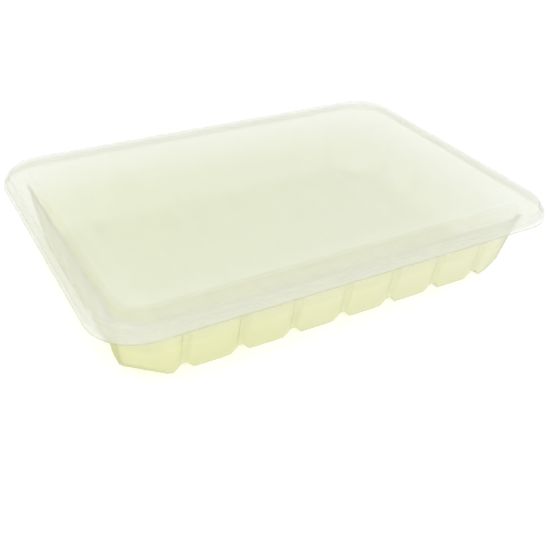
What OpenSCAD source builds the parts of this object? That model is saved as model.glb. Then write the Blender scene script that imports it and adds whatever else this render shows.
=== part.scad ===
// Humidity dome tray: a shallow fluted propagation tray with a lift-off clear lid.
// Millimetres. X runs along the length and Z is up. The origin is under the middle, on the surface that the
// tray stands on.

/* [Tray] */
// Length of the base, along X
base_len = 312.6; // [305:0.1:320]
// Width of the base, along Y
base_wid = 204.2; // [200:0.1:210]
// Height from the base to the top of the rim
tray_h = 54.8; // [45:0.1:62]
// How far each end wall leans out between the base and the rim
lean_x = 6.8; // [4:0.1:8]
// How far each long wall leans out between the base and the rim
lean_y = 10.4; // [5:0.1:11]
// Corner chamfer of the base, measured along X
chamfer_x = 26.6; // [20:0.1:28]
// Corner chamfer of the base, measured along Y
chamfer_y = 23.6; // [18:0.1:26]
// Height at which the slanting foot of a chamfer meets its steeper upper part
foot_h = 10; // [8:1:14]
// Size of the chamfer from there up, as a part of its size at the base
upper_chamfer = 0.6; // [0.5:0.05:0.9]
// Wall thickness of the tray
wall = 1.2; // [1:0.1:1.6]

/* [Flutes] */
// Number of columns of shallow pockets, along X
columns = 8; // [6:2:8]
// Number of rows of shallow pockets, along Y
rows = 5; // [3:2:5]
// Distance between neighbouring grooves, on every side
pitch = 40.4; // [36:0.1:40.8]
// Width of an upright groove
groove_w = 4.5; // [4:0.1:4.9]
// Depth of an upright groove
groove_d = 2.6; // [2:0.1:3.5]
// How far below the top of the rim the grooves stop
groove_stop = 4.8; // [4:0.1:8]
// Width of a channel under the floor, at its mouth
channel_w = 13.2; // [12:0.1:14.2]
// Width of the flat roof of a channel
channel_roof = 5.2; // [5:0.1:7]
// Height of a channel under the floor
channel_h = 5.3; // [4:0.1:7]

/* [Rim] */
// Depth of the turned-down edge of the rim
rim_drop = 3; // [2:0.5:5]
// Gap between the rim and the inside of the lid's skirt
rim_gap = 0.5; // [0.3:0.1:1]

/* [Lid] */
// Length of the lid over its skirt
lid_len = 360; // [354:1:370]
// Width of the lid over its skirt
lid_wid = 251; // [248:1:262]
// Corner radius of the skirt
lid_r = 33.3; // [26:0.1:36]
// Wall thickness of the lid
lid_wall = 0.9; // [0.8:0.1:1.2]
// Depth of the skirt, from the top of the ledge to its lower edge
skirt_h = 6; // [5:0.1:12]
// Width of the ledge between the skirt and the lid's upper wall
ledge_w = 4.6; // [4:0.1:7]
// Height of the lid's upper wall, from the ledge to the flat top
dome_h = 5.5; // [5:0.1:14]
// Size of the slope that rounds the upper wall into the top
shoulder = 1.3; // [1:0.1:2.5]

/* [Hidden] */
green = [0.87, 0.90, 0.62, 0.85];
clear = [0.93, 0.95, 0.92, 0.35];
half_len = base_len / 2;
half_wid = base_wid / 2;
past = 1;                                     // how far a cutter runs past what it cuts
plate = 0.1;                                  // thickness of the plates that a hull joins
across = base_len + 4 * lean_x;               // length of a bar that crosses the whole tray either way
ledge_z = tray_h + lid_wall;                  // top of the lid's ledge, which rests on the rim
top_z = ledge_z + dome_h;
rim_inset = lid_wall + rim_gap;
groove_top = tray_h - groove_stop;
groove_reach = 2 * groove_d;                  // how far a groove's cutter stands out of the wall
slope_run = (channel_w - channel_roof) / 2 / channel_h;
ridge_side = wall * norm([1, slope_run]);     // sideways growth of a ridge over its channel
smooth = 96;
coarse = 32;

// The walls' outline at a height, a rectangle with chamfered corners, with every side moved outward by g.
// `grown` is a chamfer's size along one side after that move, from its sizes along both sides before it.
// `narrowed` is how much of the base's chamfer is left at that height.
function grown(cut, other, g) = cut + g * (1 - (norm([cut, other]) - cut) / other);
function narrowed(z) = 1 - (1 - upper_chamfer) * min(z / foot_h, 1);
function outline(g, z) =
    let (x = half_len + lean_x * z / tray_h + g, y = half_wid + lean_y * z / tray_h + g)
    let (along_x = chamfer_x * narrowed(z), along_y = chamfer_y * narrowed(z))
    let (cut_x = grown(along_x, along_y, g), cut_y = grown(along_y, along_x, g))
    [[x, cut_y - y, z], [x, y - cut_y, z], [x - cut_x, y, z], [cut_x - x, y, z],
     [-x, y - cut_y, z], [-x, cut_y - y, z], [cut_x - x, -y, z], [x - cut_x, -y, z]];
function middle_out(count) = [for (i = [1 : count - 1]) (i - count / 2) * pitch];

// A block with the tray's leaning walls, grown outward by g, between two heights.
module leaning_block(g, z0, z1) {
    low = [for (i = [0 : 7]) i];
    high = [for (i = [7 : -1 : 0]) i + 16];
    sides = [for (ring = [0, 8], i = [0 : 7])
        [ring + i, ring + i + 8, ring + (i + 1) % 8 + 8, ring + (i + 1) % 8]];
    polyhedron(concat(outline(g, z0), outline(g, foot_h), outline(g, z1)), concat([low, high], sides));
}

// The lid's outline, drawn in by an inset.
module lid_outline(inset, facets = smooth) {
    length = lid_len - 2 * inset;
    width = lid_wid - 2 * inset;
    r = lid_r - inset;
    square([length, width - 2 * r], center = true);
    square([length - 2 * r, width], center = true);
    for (x = [-1, 1], y = [-1, 1])
        translate([x * (length / 2 - r), y * (width / 2 - r)]) circle(r, $fn = facets);
}

// An upright bar against a wall that leans out by `lean`: a box of the given width and top, from `inner` to
// `outer` across the wall. 0 is the wall's outer face, and inward is negative.
module wall_bar(lean, width, inner, outer, top) {
    rotate([-atan(lean / tray_h), 0, 0])
        translate([-width / 2, inner, -past]) cube([width, outer - inner, top + past]);
}

// One bar for each groove, on all four walls.
module wall_bars(width, inner, outer, top) {
    for (side = [0, 180]) rotate(side) {
        for (x = middle_out(columns))
            translate([x, half_wid, 0]) wall_bar(lean_y, width, inner, outer, top);
        for (y = middle_out(rows))
            rotate(90) translate([y, half_len, 0]) wall_bar(lean_x, width, inner, outer, top);
    }
}

module grooves() {
    wall_bars(groove_w, -groove_d, groove_reach, groove_top);
}

// The ribs that the grooves raise inside the tray, one wall thickness thick.
module ribs() {
    wall_bars(groove_w + 2 * wall, -groove_d - wall, 0, groove_top + wall);
}

// A trapezoid bar that runs the whole way under the floor, along Y.
module floor_bar(low_w, high_w, z0, z1) {
    rotate([90, 0, 0]) linear_extrude(across, center = true)
        polygon([[-low_w / 2, z0], [low_w / 2, z0], [high_w / 2, z1], [-high_w / 2, z1]]);
}

module floor_bars(low_w, high_w, z0, z1) {
    for (x = middle_out(columns))
        translate([x, 0, 0]) floor_bar(low_w, high_w, z0, z1);
    for (y = middle_out(rows))
        translate([0, y, 0]) rotate(90) floor_bar(low_w, high_w, z0, z1);
}

// Channels under the floor, run down past the base so that they open cleanly.
module channels() {
    floor_bars(channel_w + 2 * past * slope_run, channel_roof, -past, channel_h);
}

// The ridges that the channels raise inside the tray, one wall thickness thick.
module ridges() {
    at_roof = channel_roof + 2 * ridge_side;
    foot = at_roof + 2 * (channel_h + past) * slope_run;
    crest = at_roof - 2 * wall * slope_run;
    floor_bars(foot, crest, -past, channel_h + wall);
}

module rim() {
    translate([0, 0, tray_h - wall]) linear_extrude(wall) lid_outline(rim_inset);
    translate([0, 0, tray_h - rim_drop]) linear_extrude(rim_drop)
        difference() {
            lid_outline(rim_inset);
            lid_outline(rim_inset + wall);
        }
}

module cavity() {
    difference() {
        leaning_block(-wall, wall, tray_h + past);
        ridges();
        ribs();
    }
}

module tray() {
    color(green) difference() {
        union() {
            leaning_block(0, 0, tray_h);
            rim();
        }
        cavity();
        grooves();
        channels();
    }
}

// The upper part of the lid: an upright wall and the sloping shoulder that closes it.
module dome_block(inset, z0, z1) {
    translate([0, 0, z0]) linear_extrude(z1 - shoulder - z0) lid_outline(inset);
    hull() {
        translate([0, 0, z1 - shoulder - plate]) linear_extrude(plate) lid_outline(inset, coarse);
        translate([0, 0, z1 - plate]) linear_extrude(plate) lid_outline(inset + shoulder, coarse);
    }
}

module dome_lid() {
    color(clear) difference() {
        union() {
            translate([0, 0, ledge_z - skirt_h]) linear_extrude(skirt_h) lid_outline(0);
            dome_block(ledge_w, ledge_z - lid_wall, top_z);
        }
        translate([0, 0, ledge_z - skirt_h - past])
            linear_extrude(skirt_h + past - lid_wall) lid_outline(lid_wall);
        dome_block(ledge_w + lid_wall, ledge_z - lid_wall - past, top_z - lid_wall);
    }
}

tray();
dome_lid();
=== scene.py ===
"""Humidity dome tray: a translucent pale green tray under a clear, slightly hazy lift-off lid.

Lengths are millimetres in the CAD model's frame, and become metres when a mesh is made. The camera, the studio
and the materials are in metres throughout."""
import math

import bpy
import numpy as np
from mathutils import Matrix, Vector


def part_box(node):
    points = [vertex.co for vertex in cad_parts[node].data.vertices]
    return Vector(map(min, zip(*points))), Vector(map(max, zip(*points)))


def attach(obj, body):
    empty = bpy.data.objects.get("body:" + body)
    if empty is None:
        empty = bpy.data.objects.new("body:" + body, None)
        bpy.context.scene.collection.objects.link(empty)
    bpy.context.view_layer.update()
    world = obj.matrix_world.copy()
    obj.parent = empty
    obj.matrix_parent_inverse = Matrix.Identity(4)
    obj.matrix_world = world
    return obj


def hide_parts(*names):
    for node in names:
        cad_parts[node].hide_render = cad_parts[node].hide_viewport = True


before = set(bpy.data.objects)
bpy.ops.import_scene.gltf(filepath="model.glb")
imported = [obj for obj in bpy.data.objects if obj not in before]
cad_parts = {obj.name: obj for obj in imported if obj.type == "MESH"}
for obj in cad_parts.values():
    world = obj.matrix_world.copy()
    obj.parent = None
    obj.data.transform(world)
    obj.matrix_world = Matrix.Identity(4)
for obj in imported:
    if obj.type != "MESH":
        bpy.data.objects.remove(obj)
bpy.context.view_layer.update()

MM = 0.001
tray_high = np.array(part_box("tray")[1]) / MM
lid_low, lid_high = (np.array(corner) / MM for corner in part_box("dome_lid"))

# Tray
tray_wall = 1.2
base_x, base_y = 156.3, 102.1            # half sizes of the base
lean_x, lean_y = 6.8, 10.4               # how far the walls lean out by the rim
chamfer_x, chamfer_y = 26.6, 23.6        # size of the base's chamfers along each side
upper_chamfer = 0.6                      # part of the chamfer left above its slanting foot
foot_h = 10.0                            # height of that foot
edge_softness = 0.45                     # roundness of the upright edges of the chamfers
pitch = 40.4                             # distance between neighbouring grooves
columns, rows = 8, 5                     # lobes along X and along Y
channel_half = 7.3                       # half width of a channel's mouth
channel_flank = 4.3                      # width of each sloping flank
channel_h = 5.3
groove_half = 2.5                        # half width of a groove
groove_edge = 1.5                        # width of each of its flanks
groove_softness = 0.12                   # roundness of a flank's ends, as a part of its width
groove_d = 1.8
groove_settle = 9.0                      # height over which a groove deepens above its channel
lobe_turn = 0.7                          # how far a lobe rounds back beside a groove
lobe_turn_w = 5.0                        # and how wide that rounding is
groove_fade = 4.0                        # height over which a groove dies out under the rim
base_fillet = 1.7                        # where the floor bends up into the wall
wall_fillet = 5.0                        # where the wall bends out into the rim
rim_fillet = 1.0
rim_drop = 3.0                           # depth of the rim's turned-down edge
seat = 0.15                              # what keeps the rim just clear of the lid's ledge
rim_top = tray_high[2] - seat
rim_inset = 0.3                          # what keeps the rim clear of the flared skirt
rim_x, rim_y = tray_high[0] - rim_inset, tray_high[1] - rim_inset
rim_r = 31.6
bend_z = rim_top - tray_wall - wall_fillet     # where the wall starts to bend and the grooves have ended

# Lid
lid_wall = 0.9
lid_x, lid_y = lid_high[0], lid_high[1]  # half sizes over the skirt
lid_r = 33.3
skirt_bottom, lid_top = lid_low[2], lid_high[2]
ledge_z = tray_high[2] + lid_wall
ledge_w = 4.6
lip = 0.45                               # how far the skirt's lower edge flares out
ledge_start = 1.2                        # from the skirt to the flat part of the ledge
ledge_bend = 1.1                         # where the skirt bends into the ledge
foot_bend = 0.8                          # where the ledge bends up into the lid's wall
shoulder_bend = 1.7                      # where that wall bends into the top
top_sag = 0.35
sag_start = 8                            # the top sags from this far in from the outline
corner_blend = 0.03                      # in metres, how softly the lid's clear margin turns its corners

# Search for a distance function's outline along a ray
farthest = 400.0                         # beyond every outline, from any start
halvings = 44                            # enough to settle far below a micrometre


def soft_step(t):
    t = np.clip(t, 0, 1)
    return t * t * (3 - 2 * t)


def soft_clamp(t, k=0.07):
    """0 below 0 and 1 above 1, with rounded corners."""
    return k * (np.logaddexp(0, t / k) - np.logaddexp(0, (t - 1) / k))


def centres(count):
    return [(i - count / 2) * pitch for i in range(1, count)]


def nearest(values, count):
    """Distance from each value to the nearest groove on a side that has `count` lobes."""
    return np.min([np.abs(values - c) for c in centres(count)], axis=0)


def floor_height(x, y):
    across_x = soft_clamp((channel_half - nearest(x, columns)) / channel_flank)
    across_y = soft_clamp((channel_half - nearest(y, rows)) / channel_flank)
    return channel_h * (1 - (1 - across_x) * (1 - across_y))


def octagon_distance(x, y, z, out):
    """How far a point of the first quadrant lies outside the wall at height z, moved out by `out`."""
    half_x, half_y = base_x + lean_x * z / rim_top, base_y + lean_y * z / rim_top
    left = 1 - (1 - upper_chamfer) * soft_clamp(z / foot_h)
    normal = np.array([chamfer_y, chamfer_x]) / math.hypot(chamfer_x, chamfer_y)
    line = normal[0] * (half_x - left * chamfer_x) + normal[1] * half_y
    sides = [x - half_x - out, y - half_y - out, normal[0] * x + normal[1] * y - line - out]
    return edge_softness * np.logaddexp.reduce([side / edge_softness for side in sides])


def round_distance(x, y, half_x, half_y, r):
    """How far a point of the first quadrant lies outside a rectangle with round corners."""
    along, up = x - half_x + r, y - half_y + r
    return np.hypot(np.maximum(along, 0), np.maximum(up, 0)) + np.minimum(np.maximum(along, up), 0) - r


def reach(start, heading, distance):
    """How far along each ray the distance function passes 0."""
    near, far = np.zeros(len(start)), np.full(len(start), farthest)
    for _ in range(halvings):
        middle = (near + far) / 2
        point = start + heading * middle[:, None]
        inside = distance(point[:, 0], point[:, 1]) < 0
        near, far = np.where(inside, middle, near), np.where(inside, far, middle)
    return near


def make_mesh(name, points, faces, thickness):
    data = bpy.data.meshes.new(name)
    data.from_pydata((np.array(points) * MM).tolist(), [], [list(map(int, face)) for face in faces])
    data.validate()
    data.update()
    for polygon in data.polygons:
        polygon.use_smooth = True
    obj = bpy.data.objects.new(name, data)
    bpy.context.scene.collection.objects.link(obj)
    shell = obj.modifiers.new("thickness", "SOLIDIFY")
    shell.thickness = thickness * MM
    shell.offset = -1
    shell.use_even_offset = True
    shell.use_quality_normals = True
    return obj


def stations(count, limit, end, corner_cells):
    """Grid lines from 0 out to `end`: close together at the grooves, even beyond `limit`."""
    steps = [0, 1.1, 1.8, 2.4, 3.0, 3.8, 5.2, 6.4, 7.4]        # from the middle of a groove
    lines = set()
    for c in centres(count):
        for step in steps:
            lines |= {round(c - step, 3), round(c + step, 3)}
    for c in centres(count + 1):
        lines |= {round(c + shift, 3) for shift in (-6.4, 0, 6.4)}
    inner = sorted(v for v in lines if 0 < v < limit - 1)
    outer = [limit + (end - limit) * i / corner_cells for i in range(corner_cells + 1)]
    half = inner + outer
    middle = [0] if count % 2 == 0 or 0 in lines else []
    return [-v for v in reversed(half)] + middle + half


def tray_shell():
    """One sheet: the underside of the floor, the outside of the walls and the underside of the rim."""
    slant = math.hypot(chamfer_x, chamfer_y)
    end_x, end_y = base_x - base_fillet, base_y - base_fillet
    cut_x = chamfer_x - base_fillet * (1 - (slant - chamfer_x) / chamfer_y)
    cut_y = chamfer_y - base_fillet * (1 - (slant - chamfer_y) / chamfer_x)
    cells = 8
    xs = np.array(stations(columns, end_x - cut_x, end_x, cells))
    ys = np.array(stations(rows, end_y - cut_y, end_y, cells))
    nx, ny = len(xs), len(ys)

    def depth(i, j):
        """Steps from a grid node to the chamfer line of its corner, negative outside."""
        in_x, in_y = min(i, nx - 1 - i), min(j, ny - 1 - j)
        return in_x + in_y - cells

    index, points = {}, []
    for i in range(nx):
        for j in range(ny):
            if depth(i, j) >= 0:
                index[i, j] = len(points)
                points.append((xs[i], ys[j], float(floor_height(xs[i], ys[j]))))
    faces = []
    for i in range(nx - 1):
        for j in range(ny - 1):
            ring = [(i, j), (i, j + 1), (i + 1, j + 1), (i + 1, j)]
            face = [index[node] for node in ring if node in index]
            if len(face) >= 3:
                faces.append(face)

    edge = [(i, 0) for i in range(cells, nx - cells)]
    edge += [(nx - 1 - cells + i, i) for i in range(1, cells + 1)]
    edge += [(nx - 1, j) for j in range(cells + 1, ny - cells)]
    edge += [(nx - 1 - i, ny - 1 - cells + i) for i in range(1, cells + 1)]
    edge += [(i, ny - 1) for i in range(nx - 2 - cells, cells - 1, -1)]
    edge += [(cells - i, ny - 1 - i) for i in range(1, cells + 1)]
    edge += [(0, j) for j in range(ny - 2 - cells, cells - 1, -1)]
    edge += [(i, cells - i) for i in range(1, cells)]
    edge = [index[node] for node in edge]
    base = np.array([points[k] for k in edge])
    sign = np.where(base[:, :2] < 0, -1.0, 1.0)
    flat = np.abs(base[:, :2])
    height = base[:, 2]

    turn_x = xs[xs < end_x - cut_x - 0.01].max()
    turn_y = centres(rows)[-1] + channel_half + 1
    start = np.minimum(flat, [turn_x, turn_y])
    on_long, on_short = flat[:, 0] <= turn_x, flat[:, 1] <= turn_y
    start[on_long, 0] = flat[on_long, 0]
    heading = flat - start
    heading[on_long] = (0, 1)
    heading[on_short & ~on_long] = (1, 0)
    heading /= np.linalg.norm(heading, axis=1)[:, None]
    aside = np.where(on_long, nearest(base[:, 0], columns), nearest(base[:, 1], rows))
    groove = groove_d * soft_clamp((groove_half - aside) / groove_edge + 0.5, groove_softness)
    groove += lobe_turn * np.exp(-(aside / lobe_turn_w) ** 2)
    groove *= on_long | on_short

    def ring_at(z, out):
        return reach(start, heading, lambda x, y: octagon_distance(x, y, z, out))

    rings = []

    def add(t, z):
        spot = (start + heading * t[:, None]) * sign
        rings.append(np.column_stack([spot, np.broadcast_to(z, len(spot))]))

    def faded(z):
        return (0.5 + 0.5 * soft_step((z - height) / groove_settle)) * soft_step((bend_z - z) / groove_fade)

    for phi in np.radians((0, 20, 40, 60, 78)):
        z = height + base_fillet * (1 - math.cos(phi))
        add(ring_at(z, -base_fillet * (1 - math.sin(phi)) - groove * faded(z)), z)
    for part in (0, 0.04, 0.09, 0.15, 0.22, 0.3, 0.4, 0.5, 0.6, 0.7, 0.78, 0.84, 0.88, 0.91, 0.94, 0.97, 1):
        low = height + base_fillet
        z = low + part * (bend_z - low)
        add(ring_at(z, -groove * faded(z)), z)
    for phi in np.radians((18, 36, 54, 72, 90)):
        z = np.full(len(base), bend_z + wall_fillet * math.sin(phi))
        inner = ring_at(z, wall_fillet * (1 - math.cos(phi)))
        add(inner, z)
    under = rim_top - tray_wall

    def rim_at(out):
        x, y, r = rim_x - tray_wall + out, rim_y - tray_wall + out, rim_r - tray_wall + out
        return reach(start, heading, lambda px, py: round_distance(px, py, x, y, r))

    outer = rim_at(-rim_fillet)
    for part in (0.2, 0.4, 0.6, 0.8, 1):
        add(inner + (outer - inner) * part, under)
    for phi in np.radians((25, 50, 72, 90)):
        add(rim_at(-rim_fillet * (1 - math.sin(phi))), under - rim_fillet * (1 - math.cos(phi)))
    for part in (0.5, 1):
        add(rim_at(0), under - rim_fillet - part * (rim_drop - tray_wall - rim_fillet))

    for k, spot in zip(edge, rings[0]):
        points[k] = tuple(spot)
    loops = [edge]
    for ring in rings[1:]:
        loops.append(list(range(len(points), len(points) + len(ring))))
        points += [tuple(spot) for spot in ring]
    count = len(edge)
    for low, high in zip(loops, loops[1:]):
        for k in range(count):
            faces.append([low[k], low[(k + 1) % count], high[(k + 1) % count], high[k]])
    return make_mesh("tray_shell", points, faces, tray_wall)


def lid_shell():
    """One sheet: the outside of the skirt, the ledge, the upper wall and the top."""
    profile = [(0, skirt_bottom), (0.02, skirt_bottom + 0.35), (0.25, skirt_bottom + 0.8)]
    profile += [(lip, skirt_bottom + 1.4), (lip + 0.05, skirt_bottom + 3), (lip + 0.1, ledge_z - 1.2)]
    for phi in np.radians((0, 22, 45, 68, 90)):
        profile.append((lip + ledge_start - ledge_bend * math.cos(phi),
                        ledge_z - ledge_bend + ledge_bend * math.sin(phi)))
    foot = ledge_w - 0.1
    profile.append(((lip + ledge_start + foot - foot_bend) / 2, ledge_z))
    for phi in np.radians((0, 30, 60, 90)):
        profile.append((foot - foot_bend + foot_bend * math.sin(phi),
                        ledge_z + foot_bend - foot_bend * math.cos(phi)))
    profile.append((foot + 0.1, (ledge_z + lid_top) / 2))
    for phi in np.radians((0, 15, 30, 45, 60, 75, 90)):
        profile.append((foot + 0.25 + shoulder_bend * (1 - math.cos(phi)),
                        lid_top - shoulder_bend + shoulder_bend * math.sin(phi)))
    profile += [(inset, lid_top) for inset in (9, 13, 18, 23, 28, lid_r - 1.5)]

    inner_x, inner_y = lid_x - lid_r, lid_y - lid_r
    along, up, arc = 44, 28, 14
    xs = [inner_x * (2 * i / along - 1) for i in range(along + 1)]
    ys = [inner_y * (2 * j / up - 1) for j in range(up + 1)]
    places = []                                         # centre of each column and its heading
    for side in range(4):
        turn = side * math.pi / 2
        line = xs if side % 2 == 0 else ys
        for value in (line if side < 2 else line[::-1])[:-1]:
            spot = [(value, -inner_y), (inner_x, value), (value, inner_y), (-inner_x, value)][side]
            places.append((*spot, turn - math.pi / 2))
        corner = [(inner_x, -inner_y), (inner_x, inner_y), (-inner_x, inner_y), (-inner_x, -inner_y)][side]
        for step in range(arc):
            places.append((*corner, turn - math.pi / 2 + math.pi / 2 * step / arc))
    places = np.array(places)
    out = np.column_stack([np.cos(places[:, 2]), np.sin(places[:, 2])])
    points, faces, loops = [], [], []

    def sag(x, y):
        edge_x, edge_y = 1 - (x / (lid_x - sag_start)) ** 2, 1 - (y / (lid_y - sag_start)) ** 2
        ripple = 0.6 + 0.4 * math.sin(x / 41 + 0.6) * math.cos(y / 33 - 0.4)
        return top_sag * ripple * max(edge_x, 0) * max(edge_y, 0)

    for inset, z in profile:
        spots = places[:, :2] + out * (lid_r - inset)
        loops.append(list(range(len(points), len(points) + len(spots))))
        drop = [sag(x, y) if inset > sag_start else 0 for x, y in spots]
        points += [(x, y, z - d) for (x, y), d in zip(spots, drop)]
    count = len(places)
    for low, high in zip(loops, loops[1:]):
        for k in range(count):
            faces.append([low[k], low[(k + 1) % count], high[(k + 1) % count], high[k]])
    grid = {}
    for i, x in enumerate(xs):
        for j, y in enumerate(ys):
            grid[i, j] = len(points)
            points.append((x, y, lid_top - sag(x, y)))
    nearest_node = {tuple(np.round(points[k][:2], 4)): k for k in grid.values()}
    seat_of = [nearest_node[tuple(np.round(place[:2], 4))] for place in places]
    for k in range(count):
        after = (k + 1) % count
        face = [loops[-1][k], loops[-1][after], seat_of[after]]
        faces.append(face if seat_of[k] == seat_of[after] else face + [seat_of[k]])
    for i in range(along):
        for j in range(up):
            faces.append([grid[i, j], grid[i + 1, j], grid[i + 1, j + 1], grid[i, j + 1]])
    return make_mesh("lid_shell", points, faces, lid_wall)


def plastic(name, pale, deep, tint, edge_tint, rough, clear, edge_clear, glow, grain, bumps, zones):
    """A moulded plastic sheet that lets light through.

    `clear` is how much of what is behind shows through each face of the sheet, and `tint` colours it. `glow` is
    how much of the rest is light from behind, and `deep` to `pale` is the colour of the rest, from the -X end to
    the +X end; the paler +X end is painted light, standing in for light falling more on that end. `edge_clear`
    and `edge_tint` hold where light crosses the sheet at a low angle and has more plastic to pass.

    Each zone is (kind, first, second, colour, clear). The sheet changes between the two distances, and has the
    zone's own colour and clearness beyond the second. They are heights, or distances in from the lid's outline
    for a zone of kind "inset". A later zone covers an earlier one."""
    material = bpy.data.materials.new(name)
    material.use_nodes = True
    tree = material.node_tree
    surface, output = tree.nodes["Principled BSDF"], tree.nodes["Material Output"]
    link = tree.links.new

    def node(kind, **values):
        new = tree.nodes.new(kind)
        for key, value in values.items():
            new.inputs[key].default_value = value
        return new

    def ramp(value, first=0.0, second=1.0, low=0.0, high=1.0):
        """A value that goes from `low` to `high` as another goes from `first` to `second`."""
        new = node("ShaderNodeMapRange",
                   **{"From Min": first, "From Max": second, "To Min": low, "To Max": high})
        link(value, new.inputs["Value"])
        return new.outputs["Result"]

    def arithmetic(operation, *values):
        """The result of a sum on numbers and on other nodes' outputs."""
        new = node("ShaderNodeMath")
        new.operation = operation
        for socket, value in zip(new.inputs, values):
            if isinstance(value, float):
                socket.default_value = value
            else:
                link(value, socket)
        return new.outputs[0]

    def mixed_colour(share, first, second):
        """From one colour to another. Each is a tuple or another node's output."""
        new = node("ShaderNodeMix")
        new.data_type = "RGBA"
        for key, value in (("A", first), ("B", second)):
            if isinstance(value, tuple):
                new.inputs[key].default_value = (*value, 1)
            else:
                link(value, new.inputs[key])
        link(share, new.inputs["Factor"])
        return new.outputs["Result"]

    def mixed_shader(first, second):
        new = node("ShaderNodeMixShader")
        link(first.outputs[0], new.inputs[1])
        link(second.outputs[0], new.inputs[2])
        return new

    place = node("ShaderNodeTexCoord").outputs["Object"]
    broad = node("ShaderNodeTexNoise", Scale=14.0, Detail=3.0, Roughness=0.5)
    fine = node("ShaderNodeTexNoise", Scale=grain, Detail=4.0, Roughness=0.6)
    for noise in (broad, fine):
        link(place, noise.inputs["Vector"])
    split = node("ShaderNodeSeparateXYZ")
    link(place, split.inputs[0])

    # Colour and clearness of the plastic, zone by zone
    # Paler towards the +X end: painted light, for light falling more on that end. The broad noise on top is
    # random tone.
    along = ramp(split.outputs["X"], 0.22, -0.18)
    tone_and_painted_light = arithmetic("MULTIPLY_ADD", broad.outputs["Fac"], 0.5, along)
    colour = mixed_colour(ramp(tone_and_painted_light, 0.25, 1.25), pale, deep)
    insets = [arithmetic("SUBTRACT", half * MM, arithmetic("ABSOLUTE", split.outputs[axis]))
              for axis, half in (("X", lid_x), ("Y", lid_y))]
    measures = {"height": split.outputs["Z"], "inset": arithmetic("SMOOTH_MIN", *insets, corner_blend)}
    facing = node("ShaderNodeLayerWeight", Blend=0.5).outputs["Facing"]
    clearness = ramp(facing, 0.5, 1.0, clear, edge_clear)
    for kind, first, second, zone_colour, zone_clear in zones:
        change = ramp(measures[kind], first, second)
        colour = mixed_colour(change, colour, zone_colour)
        chosen = node("ShaderNodeMix", B=zone_clear)
        link(change, chosen.inputs["Factor"])
        link(clearness, chosen.inputs["A"])
        clearness = chosen.outputs["Result"]

    # What light does at the surface, in the plastic and through it
    bump = node("ShaderNodeBump", Strength=bumps, Distance=0.0002)
    link(fine.outputs["Fac"], bump.inputs["Height"])
    surface.inputs["IOR"].default_value = 1.49
    link(colour, surface.inputs["Base Color"])
    link(ramp(fine.outputs["Fac"], low=rough - 0.06, high=rough + 0.08), surface.inputs["Roughness"])
    link(bump.outputs["Normal"], surface.inputs["Normal"])
    behind = node("ShaderNodeBsdfTranslucent")
    link(colour, behind.inputs["Color"])
    through = node("ShaderNodeBsdfTransparent")
    link(mixed_colour(ramp(facing, 0.65), tint, edge_tint), through.inputs["Color"])
    body = mixed_shader(surface, behind)
    body.inputs["Fac"].default_value = glow
    sheet = mixed_shader(body, through)
    link(clearness, sheet.inputs["Fac"])
    link(sheet.outputs[0], output.inputs["Surface"])
    return material


def camera():
    data = bpy.data.cameras.new("camera")
    data.lens, data.sensor_width = 50, 36               # both in millimetres
    azimuth, elevation, roll = math.radians(-31.29), math.radians(33.78), math.radians(2.90)
    target, distance = Vector((-0.0144, -0.0319, 0)), 0.5853
    back = Vector((math.sin(azimuth) * math.cos(elevation),
                   -math.cos(azimuth) * math.cos(elevation), math.sin(elevation)))
    right = (-back).cross(Vector((0, 0, 1))).normalized()
    up = right.cross(-back)
    side = math.cos(roll) * right + math.sin(roll) * up
    top = -math.sin(roll) * right + math.cos(roll) * up
    obj = bpy.data.objects.new("camera", data)
    turn = Matrix((side, top, back)).transposed().to_4x4()
    obj.matrix_world = Matrix.Translation(target + distance * back) @ turn
    bpy.context.scene.collection.objects.link(obj)
    bpy.context.scene.camera = obj


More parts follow.
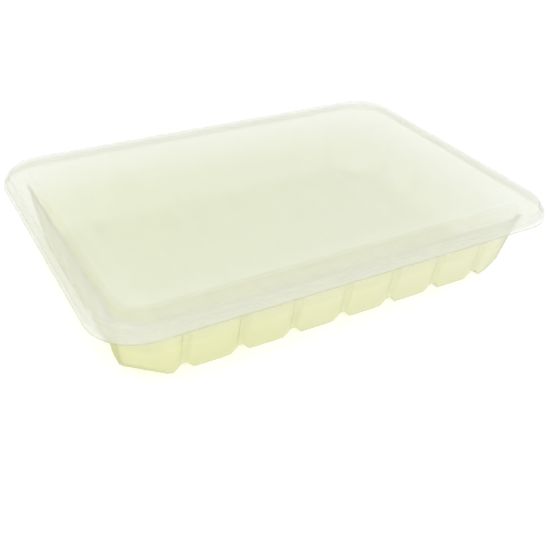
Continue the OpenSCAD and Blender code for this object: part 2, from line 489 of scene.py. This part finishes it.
def studio():
    scene = bpy.context.scene
    scene.view_settings.view_transform = "Standard"
    scene.cycles.transparent_max_bounces = 48           # enough for every sheet in line of the lid and tray
    world = bpy.data.worlds.new("studio")
    world.use_nodes = True
    sky = world.node_tree.nodes["Background"]
    sky.inputs["Color"].default_value = (1, 1, 1, 1)
    sky.inputs["Strength"].default_value = 1.025
    scene.world = world
    data = bpy.data.meshes.new("floor")
    half = 4.0
    below = -0.0001                                     # just clear of the tray's feet
    square = [(-half, -half, below), (half, -half, below), (half, half, below), (-half, half, below)]
    data.from_pydata(square, [], [(0, 1, 2, 3)])
    floor = bpy.data.objects.new("floor", data)
    scene.collection.objects.link(floor)
    paint = bpy.data.materials.new("floor")
    paint.use_nodes = True
    surface = paint.node_tree.nodes["Principled BSDF"]
    surface.inputs["Base Color"].default_value = (0.9, 0.9, 0.9, 1)
    surface.inputs["Roughness"].default_value = 0.9
    surface.inputs["Specular IOR Level"].default_value = 0.0
    surface.inputs["Emission Color"].default_value = (1, 1, 1, 1)
    surface.inputs["Emission Strength"].default_value = 0.32
    data.materials.append(paint)


camera()
studio()
tray = tray_shell()
# The tray's pale +X end is painted light; deep is its colour at the -X end.
tray.data.materials.append(plastic(
    "tray_plastic", pale=(0.945, 0.945, 0.84), deep=(0.92, 0.925, 0.67), tint=(0.98, 0.98, 0.945),
    edge_tint=(0.4, 0.42, 0.3), rough=0.36, clear=0.34, edge_clear=0.5, glow=0.55, grain=900, bumps=0.1,
    zones=[
        ("height", 0.0012, 0.0003, (0.87, 0.88, 0.66), 0.27),        # darker at the very bottom: painted contact shade where the tray stands
        ("height", 0.024, 0.05, (0.925, 0.93, 0.88), 0.68),          # paler and clearer up the walls
        ("height", 0.0515, 0.0535, (0.88, 0.885, 0.8), 0.74)]))      # rim
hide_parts("tray")
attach(tray, "base_tray")
lid = lid_shell()
# The lid's pale +X end is painted light; deep is its colour at the -X end.
lid.data.materials.append(plastic(
    "lid_plastic", pale=(0.94, 0.94, 0.94), deep=(0.92, 0.92, 0.92), tint=(0.975, 0.975, 0.975),
    edge_tint=(0.87, 0.87, 0.87), rough=0.18, clear=0.8, edge_clear=0.55, glow=0.5, grain=500, bumps=0.02,
    zones=[
        ("height", 0.058, 0.061, (0.96, 0.99, 0.98), 0.53),          # haze on the flat top
        ("inset", 0.022, 0.016, (0.94, 0.95, 0.94), 0.7),            # clearer margin
        ("height", 0.0506, 0.0498, (0.68, 0.68, 0.6), 0.52)]))       # darker lower edge of the skirt: painted shade for the dark line a clear edge shows
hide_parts("dome_lid")
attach(lid, "lid")
